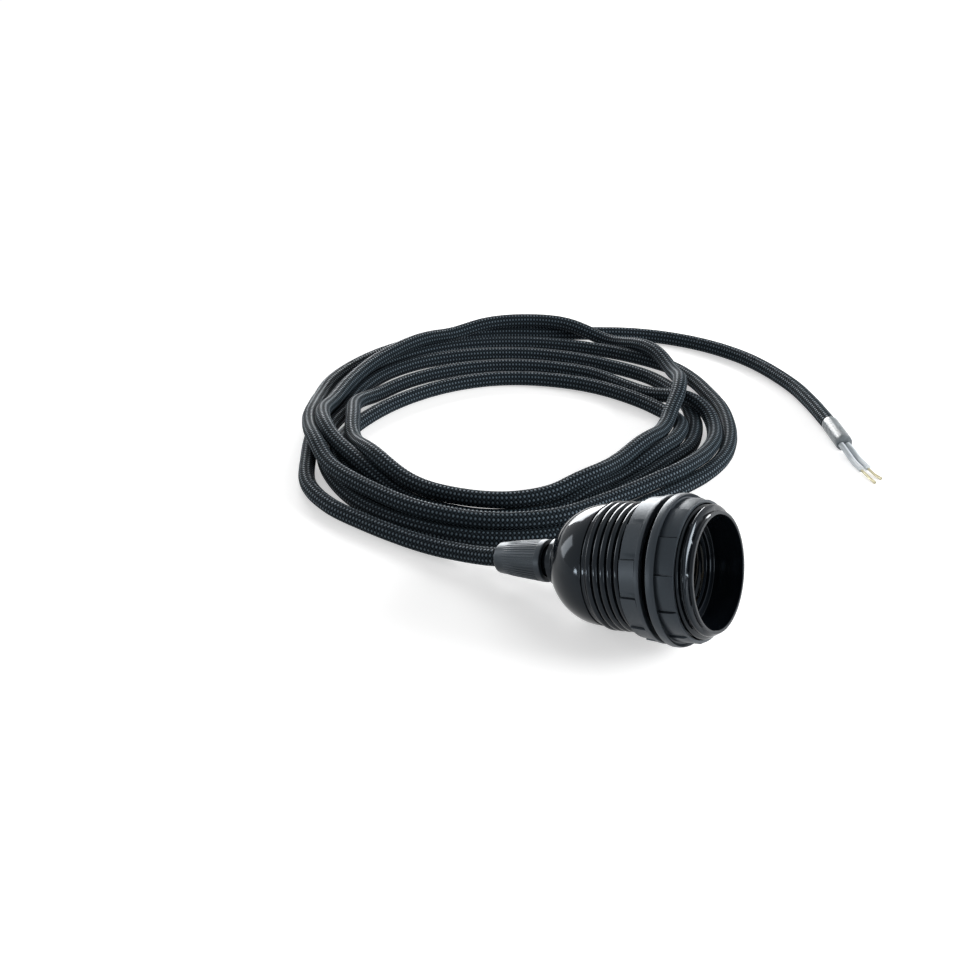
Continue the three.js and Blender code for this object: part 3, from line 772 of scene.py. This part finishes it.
class Inside:
    """What the holder hides: block, contacts, terminals, screws and the stripped cord."""

    KEPT = {
        Slot.GLOSS: ("grip_stem",),
        Slot.BLOCK: ("contact_block",),
        Slot.BRASS: ("centre_contact", "side_contact", "terminal_post_live", "terminal_post_neutral"),
        Slot.STEEL: ("contact_screw_live", "contact_screw_neutral", "clamp_screw_live", "clamp_screw_neutral"),
        Slot.BRAID: ("cord_end_inside",),
        Slot.BROWN: ("inside_core_live",),
        Slot.BLUE: ("inside_core_neutral",),
        Slot.COPPER: ("inside_copper_live", "inside_copper_neutral"),
    }

    def build(self, dresser: Dresser) -> None:
        """Gives each kept node its finish."""
        for slot, nodes in self.KEPT.items():
            dresser.keep(slot, *nodes)


# The cord

SPLINE_STEPS = 24


def along_spline(points: Array, spacing: float) -> Array:
    """Draws a smooth curve through points.

    Args:
        points: The points, in order.
        spacing: The distance between the points returned.

    Returns:
        Points on the curve, evenly spaced.
    """
    ends = np.vstack([2 * points[0] - points[1], points, 2 * points[-1] - points[-2]])
    parts = []
    for i in range(len(points) - 1):
        a, b, c, d = ends[i:i + 4]
        t1 = np.linalg.norm(b - a) ** 0.5
        t2 = t1 + np.linalg.norm(c - b) ** 0.5
        t3 = t2 + np.linalg.norm(d - c) ** 0.5
        t = np.linspace(t1, t2, SPLINE_STEPS, endpoint=False)[:, None]
        ab = a + (b - a) * (t / t1)
        bc = b + (c - b) * ((t - t1) / (t2 - t1))
        cd = c + (d - c) * ((t - t2) / (t3 - t2))
        abc = ab + (bc - ab) * (t / t2)
        bcd = bc + (cd - bc) * ((t - t1) / (t3 - t1))
        parts.append(abc + (bcd - abc) * ((t - t1) / (t2 - t1)))
    return evenly(np.vstack([*parts, points[-1:]]), spacing)


def evenly(points: Array, spacing: float) -> Array:
    """Spaces points evenly along the line through them."""
    far = travelled(points)
    marks = np.linspace(0.0, far[-1], max(2, int(round(far[-1] / spacing)) + 1))
    return np.stack([np.interp(marks, far, points[:, k]) for k in range(points.shape[1])], axis=1)


def smoothed(values: Array, reach: int) -> Array:
    """Softens a row of values with a bell that is reach samples wide to each side."""
    bell = np.exp(-0.5 * (np.arange(-2 * reach, 2 * reach + 1) / reach) ** 2)
    padded = np.pad(values, 2 * reach, mode="edge")
    return np.convolve(padded, bell / bell.sum(), mode="valid")


def tube(name: str, path: Array, radius: float | Array, sides: int, cell: float = 1.0,
         cells_round: int = 0) -> Object:
    """Makes a closed tube along a path, with a map that follows it.

    Args:
        name: The piece's name.
        path: Its centreline in millimetres.
        radius: Its radius, or one at each point.
        sides: Points round it.
        cell: Length of the map's unit along the tube.
        cells_round: Units of the map round the tube.

    Returns:
        The piece.
    """
    count = len(path)
    run = np.gradient(path, axis=0)
    run /= np.linalg.norm(run, axis=1)[:, None]
    side = np.empty_like(path)
    side[0] = np.cross(run[0], (0.0, 0.0, 1.0))
    side[0] /= np.linalg.norm(side[0])
    for i in range(1, count):
        side[i] = side[i - 1] - run[i] * np.dot(side[i - 1], run[i])
        side[i] /= np.linalg.norm(side[i])
    other = np.cross(run, side)
    turn = even_turns(sides)[:, None, None]
    wide = np.broadcast_to(np.asarray(radius, float), (count,))[None, :, None]
    skin = (path[None] + wide * (np.cos(turn) * side[None] + np.sin(turn) * other[None])).reshape(-1, 3)
    quads = grid_quads(sides, count, False)
    piece = new_piece(name, skin, quads, end_caps(sides, count), 50.0)
    i, j = np.meshgrid(np.arange(sides), np.arange(count - 1), indexing="ij")
    corner_round = i.ravel()[:, None] + np.array([0, 1, 1, 0])
    corner_along = j.ravel()[:, None] + np.array([0, 0, 1, 1])
    if enclosed_volume(skin, quads) < 0:
        corner_round, corner_along = corner_round[:, ::-1], corner_along[:, ::-1]
    far = travelled(path) / cell
    spread = np.stack([far[corner_along], corner_round * (cells_round / sides)], axis=-1).ravel()
    caps = np.zeros(4 * sides)
    piece.data.uv_layers.new(name="cord_map").data.foreach_set("uv", np.concatenate([spread, caps]))
    return piece


# Each turn as angle and radius about the coil's middle, clockwise from where the lead joins
TURNS: tuple[dict[int, float], ...] = (
    {235: 88, 220: 82.3, 205: 78, 190: 78.6, 175: 81, 160: 82.5, 145: 83.5, 130: 83.8, 115: 83.9, 100: 84.6, 85: 87,
     70: 89.8, 60: 88.8, 50: 87.2, 40: 87, 30: 86.6, 20: 86.6, 10: 86.3, 0: 84.8, -10: 83, -20: 82.6, -35: 85.5,
     -50: 92, -65: 94.5, -80: 93.3, -95: 91, -110: 86.5},
    {235: 81.8, 220: 76, 205: 71.6, 190: 72.2, 175: 73.6, 160: 73.4, 145: 72, 130: 70.8, 115: 70.3, 100: 70.3,
     85: 71.3, 70: 74, 60: 74.6, 50: 74.8, 43: 74, 35: 73.2, 28: 73.2, 13: 72, -2: 68.3, -17: 68.8, -35: 74,
     -50: 84.5, -65: 88, -80: 87, -95: 84.7, -110: 80.3},
    {235: 75.6, 220: 67.5, 205: 58.6, 190: 52, 175: 47.6, 160: 44.8, 145: 43.3, 130: 42.8, 115: 43, 100: 44.2,
     85: 46.8, 70: 50.5, 55: 55.6, 45: 60, 35: 65, 25: 67.2, 13: 66.2, 3: 63.8, -8: 62.3, -20: 62.5, -35: 67.8,
     -50: 75.8, -65: 80, -80: 79.5, -95: 77.5, -110: 77.6},
    {235: 79, 220: 78.4, 205: 75.2, 190: 75.4, 175: 78, 160: 81.5, 145: 87.5, 130: 94, 118: 97, 105: 97.2, 92: 94.8,
     80: 89.8, 70: 85.4, 60: 79.8, 48: 72.1, 38: 67.2, 29: 63, 20: 61, 11: 59.6, 0: 58.6, -10: 58.9, -20: 61,
     -32: 65.8, -42: 69.6, -50: 73.6, -62: 76.8, -80: 76.8, -95: 74.8, -110: 72},
    {235: 69.4, 220: 66.5, 205: 66.8, 190: 63.6, 175: 61.2, 160: 59, 145: 57.4, 130: 56.7, 115: 56.6, 100: 57.2,
     85: 58.6, 70: 59, 55: 63, 46: 68.4, 38: 74.4, 30: 79.2, 18: 80.8, 5: 80.2, -9: 79.7, -20: 78.8, -35: 81,
     -50: 88.3, -65: 91.2, -80: 90.2, -95: 87.8, -110: 87.2},
    {235: 85, 220: 83.8, 210: 83, 200: 85, 188: 88.3, 175: 90.6, 160: 93, 145: 94.6, 134: 95.6, 124: 96.4},
)


@dataclass
class CordSet:
    """The braided cord: the lead from the nut, the coil and the tail, laid strand by strand."""

    diameter: float = 6.2
    lie: float = 3.2
    centre: Pair = (-94.2, 100.6)
    spacing: float = 1.35
    sides: int = 22
    cell: float = 1.5
    cells_round: int = 10
    lead: tuple[Point, ...] = (
        (-39.31, 0.0, 8.39), (-42.54, 0.0, 7.52), (-49.0, 0.3, 5.7), (-57.0, 0.6, 4.1), (-66.0, 0.2, 3.4),
        (-78.0, 0.0, 3.2), (-96.0, 1.0, 3.2), (-115.0, 4.0, 3.2), (-131.0, 12.0, 3.2),
    )
    tail: tuple[Point, ...] = (
        (-131.4, 190.4, 3.2), (-114.6, 201.2, 3.2), (-97.6, 210.8, 3.2), (-79.0, 216.3, 3.2),
        (-58.5, 217.0, 3.2), (-36.5, 211.4, 3.2), (-11.9, 196.2, 3.2), (1.7, 183.1, 3.2), (15.2, 167.4, 3.2),
    )
    top_turn: int = 3
    slack: float = 0.05
    same_strand: float = 45.0
    look_ahead: float = 60.0
    block: float = 60.0
    steepest: float = 0.32
    least_rows: int = 40
    soften_block: int = 3
    soften_all: int = 4

    def plan(self) -> tuple[Array, list[Array]]:
        """Draws the whole cord on the surface, before its strands are stacked.

        Returns:
            Rows of x, y and the height that the route asks for, evenly spaced, and the runs of rows in the
            order in which they are laid down.
        """
        spots: list[Point] = list(self.lead)
        starts: list[Point] = []
        for turn in TURNS:
            ring = [(self.centre[0] + r * math.cos(math.radians(a)),
                     self.centre[1] + r * math.sin(math.radians(a)), self.lie) for a, r in turn.items()]
            starts.append(ring[0])
            spots += ring
        path = along_spline(np.array([*spots, *self.tail]), self.spacing)
        rows = np.arange(len(path))
        cuts, low = [], 0
        for start in starts:
            gap = np.linalg.norm(path[low:] - np.array(start), axis=1)
            low += int(np.argmax(gap < self.spacing))
            cuts.append(low)
            low += self.least_rows
        first, second = cuts[self.top_turn], cuts[self.top_turn + 1]
        return path, [rows[:first], rows[second:], rows[first:second]]

    def stacked(self, path: Array, runs: Sequence[Array]) -> Array:
        """Lays the cord down run by run, so that each strand rests on those that lie there already.

        Args:
            path: The cord on the surface.
            runs: Rows of the path in the order in which they are laid down.

        Returns:
            The same path, raised where it crosses or rests on itself.
        """
        reach = self.diameter + self.slack
        path = path.copy()
        floor = path[:, 2].copy()
        lying = np.zeros(len(path), bool)
        away, ahead, block = (int(length / self.spacing)
                              for length in (self.same_strand, self.look_ahead, self.block))
        for run in runs:
            for start in range(0, len(run), block):
                window = run[max(0, start - ahead):start + block + ahead]
                need = floor[window].copy()
                for n, i in enumerate(window):
                    below = lying & (np.abs(np.arange(len(path)) - i) > away)
                    near = np.hypot(path[below, 0] - path[i, 0], path[below, 1] - path[i, 1])
                    close = near < reach
                    if close.any():
                        rest = path[below, 2][close] + np.sqrt(reach ** 2 - near[close] ** 2)
                        need[n] = max(need[n], float(rest.max()))
                for step, order in ((-1, range(1, len(need))), (1, range(len(need) - 2, -1, -1))):
                    for n in order:
                        need[n] = max(need[n], need[n + step] - self.steepest * self.spacing)
                need = smoothed(need, self.soften_block)
                mine = run[start:start + block]
                path[mine, 2] = np.maximum(need[np.isin(window, mine)], floor[mine])
                lying[mine] = True
        path[:, 2] = np.maximum(smoothed(path[:, 2], self.soften_all), floor)
        return evenly(path, self.spacing)

    def build(self, dresser: Dresser, ends: Sequence[Object]) -> None:
        """Args:
            dresser: Gives the finish.
            ends: The pieces on its stripped end; not used.
        """
        path = self.stacked(*self.plan())
        cord = tube("cord_braided", path, self.diameter / 2, self.sides, self.cell, self.cells_round)
        dresser.dress(cord, Slot.BRAID, "cord_lead", "cord_coil", "cord_tail")


@dataclass
class StrippedEnd:
    """The cord's bare end: a clear sleeve, two pale cores and their twisted strands."""

    sleeve: tuple[Point, ...] = ((15.6, 166.9, 3.4), (21.2, 159.5, 3.45), (26.6, 152.3, 3.4))
    sleeve_radius: float = 3.4
    pinch: float = 0.25
    pinch_rate: float = 30.0
    core_radius: float = 1.15
    strand_radius: float = 0.17
    strands: int = 7
    twist: float = 7.0
    away: float = 0.37
    splay: float = 0.1
    lowest: float = 0.02
    cores: tuple[tuple[Point, ...], ...] = (
        ((25.8, 151.0, 3.2), (29.3, 147.6, 2.3), (33.3, 143.4, 1.3), (38.2, 138.4, 1.3)),
        ((27.75, 152.45, 3.2), (31.4, 149.4, 2.3), (35.0, 145.8, 1.4), (40.0, 141.0, 1.3)),
    )
    coppers: tuple[tuple[Point, ...], ...] = (
        ((38.4, 138.2, 1.0), (42.0, 135.0, 0.7), (45.6, 131.8, 0.6)),
        ((40.2, 140.8, 1.0), (43.4, 138.2, 0.7), (46.6, 136.2, 0.6)),
    )

    def twisted(self, copies: RoundCopies, side: Side, route: Array, material: Material) -> Object:
        """Makes a bundle of fine strands along a route.

        Args:
            copies: Sets the strands round the bundle.
            side: The pole that the bundle belongs to.
            route: Its centreline.
            material: The strands' finish.

        Returns:
            The bundle as one piece.
        """
        path = along_spline(route, 0.3)
        far = np.linspace(0.0, 1.0, len(path))
        length = float(np.sum(steps_of(path)))
        swirl = far * length / self.twist * 2 * math.pi
        away = self.away + self.splay * far ** 3
        line = np.stack([away * np.cos(swirl), away * np.sin(swirl), far * length], axis=1)
        strand = tube("one_strand", line, self.strand_radius, 6)
        mesh = copies.mesh(strand, self.strands, material)

        def follow(spots: Array) -> Array:
            """Bends the straight bundle along its route."""
            share = np.clip(spots[:, 2] / length, 0.0, 1.0) * (len(path) - 1)
            low = np.minimum(share.astype(int), len(path) - 2)
            run = path[low + 1] - path[low]
            middle = path[low] + run * (share - low)[:, None]
            run /= np.linalg.norm(run, axis=1)[:, None]
            across = np.cross(run, (0.0, 0.0, 1.0))
            across /= np.linalg.norm(across, axis=1)[:, None]
            bent = middle + across * spots[:, :1] + np.cross(across, run) * spots[:, 1:2]
            bent[:, 2] = np.maximum(bent[:, 2], self.lowest)
            return bent

        bend(mesh, follow)
        return placed(f"copper_strands_{side.value}", mesh)

    def build(self, dresser: Dresser, copies: RoundCopies) -> list[Object]:
        """Builds and dresses the end.

        Args:
            dresser: Gives the finishes.
            copies: Sets the copper strands round their bundles.

        Returns:
            Its pieces.
        """
        path = along_spline(np.array(self.sleeve), 0.5)
        far = np.linspace(0.0, 1.0, len(path))
        radius = self.sleeve_radius - self.pinch * (np.exp(-far * self.pinch_rate)
                                                    + np.exp(-(1 - far) * self.pinch_rate))
        pieces = [dresser.dress(tube("sleeve_clear", path, radius, 40), Slot.SLEEVE, "end_sleeve")]
        for side, core, copper in zip(Side, self.cores, self.coppers):
            insulation = tube(f"core_{side.value}", along_spline(np.array(core), 0.4), self.core_radius, 24)
            pieces.append(dresser.dress(insulation, Slot.PALE, f"end_core_{side.value}"))
            bundle = self.twisted(copies, side, np.array(copper), dresser.materials[Slot.COPPER])
            pieces.append(dresser.dress(bundle, Slot.COPPER, f"end_copper_{side.value}"))
        return pieces


# The studio

@dataclass
class Softbox:
    """A rectangular lamp that faces a point."""

    name: str
    place: Point
    target: Point
    width: float
    height: float
    radiance: float

    def build(self) -> None:
        """Sets the lamp up; its power follows from its size and how bright it looks."""
        data = bpy.data.lights.new(self.name, "AREA")
        data.shape = "RECTANGLE"
        data.size = self.width
        data.size_y = self.height
        data.energy = self.radiance * math.pi * self.width * self.height
        lamp = placed(self.name, data)
        lamp.location = self.place
        aim = Vector(self.target) - Vector(self.place)
        lamp.rotation_euler = aim.to_track_quat("-Z", "Y").to_euler()


MIDDLE = (-0.04, 0.04, 0.02)
LAMPS = (
    Softbox("window_back", (-0.66, 0.7, 0.26), MIDDLE, 0.6, 0.46, 14.0),
    Softbox("window_left", (-0.93, -0.12, 0.22), MIDDLE, 0.34, 0.42, 5.5),
    Softbox("overhead", (0.05, 0.15, 0.85), MIDDLE, 0.5, 0.4, 0.6),
    Softbox("key_right", (0.74, 0.36, 0.3), MIDDLE, 0.5, 0.4, 19.0),
    Softbox("fill_mouth", (0.55, -0.3, 0.2), (0.03, 0.0, 0.03), 0.2, 0.2, 4.0),
    Softbox("strip_front", (-0.42, -0.62, 0.045), (0.0, 0.0, 0.03), 0.12, 0.08, 26.0),
)


@dataclass
class Studio:
    """Camera, lamps, pale floor and white surroundings."""

    eye: Point = (0.14278, -0.29821, 0.22705)
    tilt_deg: float = 61.5
    azimuth_deg: float = 32.54
    lens: float = 46.875
    floor_half: float = 6.0
    paper: float = 0.8
    glow_reach: Pair = (0.3, 0.9)
    glow: Pair = (0.5, 0.9)
    surroundings: Pair = (0.15, 1.0)

    def camera(self) -> None:
        """Sets the camera at the photograph's place and angle."""
        data = bpy.data.cameras.new("camera")
        data.lens = self.lens
        data.clip_start = 0.01
        camera = placed("camera", data)
        camera.location = self.eye
        camera.rotation_euler = (math.radians(self.tilt_deg), 0.0, math.radians(self.azimuth_deg))
        bpy.context.scene.camera = camera

    def seen(self, sheet: NodeSheet) -> NodeSocket:
        """Gives 1 for the rays that show the surroundings: straight, mirrored or through glass."""
        rays = sheet.add("LightPath").outputs
        first = sheet.math("MAXIMUM", rays["Is Camera Ray"], rays["Is Glossy Ray"])
        return sheet.math("MAXIMUM", first, rays["Is Transmission Ray"])

    def floor(self) -> None:
        """Lays the pale floor, which keeps the object's shadow and glows more with distance, where no lamp reaches."""
        mesh = bpy.data.meshes.new("floor")
        half = self.floor_half
        mesh.from_pydata([(-half, -half, 0), (half, -half, 0), (half, half, 0), (-half, half, 0)], [], [(0, 1, 2, 3)])
        material = bpy.data.materials.new("floor_pale")
        sheet = node_sheet(material)
        paper = sheet.add("BsdfDiffuse", Color=(self.paper, self.paper, self.paper, 1.0))
        place = sheet.add("TexCoord").outputs["Object"]
        away = sheet.add("VectorMath", settings={"operation": "LENGTH"}, i0=place).outputs["Value"]
        (near, far), (low, high) = self.glow_reach, self.glow
        lift = sheet.add("MapRange", i0=away, i1=near, i2=far, i3=low, i4=high)
        glow = sheet.add("Emission", Color=(1.0, 1.0, 1.0, 1.0),
                         Strength=sheet.product(self.seen(sheet), lift))
        sheet.add("OutputMaterial", Surface=sheet.add("AddShader", i0=paper, i1=glow))
        mesh.materials.append(material)
        floor = placed("floor", mesh)

    def world(self) -> None:
        """Sets white surroundings that light the object softly."""
        world = bpy.data.worlds.new("studio")
        sheet = node_sheet(world)
        strength = sheet.spread(self.seen(sheet), *self.surroundings)
        back = sheet.add("Background", Color=(1.0, 1.0, 1.0, 1.0), Strength=strength)
        sheet.add("OutputWorld", Surface=back)
        bpy.context.scene.world = world

    def build(self) -> None:
        """Sets the whole studio up."""
        bpy.context.scene.view_settings.view_transform = "Standard"
        self.camera()
        self.floor()
        self.world()
        for lamp in LAMPS:
            lamp.build()


def main() -> None:
    """Builds the studio, the cord and the holder, in that order."""
    logging.basicConfig(level=logging.INFO, format="%(message)s")
    Studio().build()
    dresser = Dresser()
    copies = RoundCopies("copies_round_axis")
    ends = StrippedEnd().build(dresser, copies)
    CordSet().build(dresser, ends)
    Skirt().build(dresser)
    FrontRing("ring_front", "shade_ring_front", 7.0).build(dresser)
    RearRing("ring_rear", "shade_ring_rear", 27.0).build(dresser)
    Dome().build(dresser)
    GripNut().build(dresser, copies)
    Inside().build(dresser)


if __name__ == "__main__":
    main()
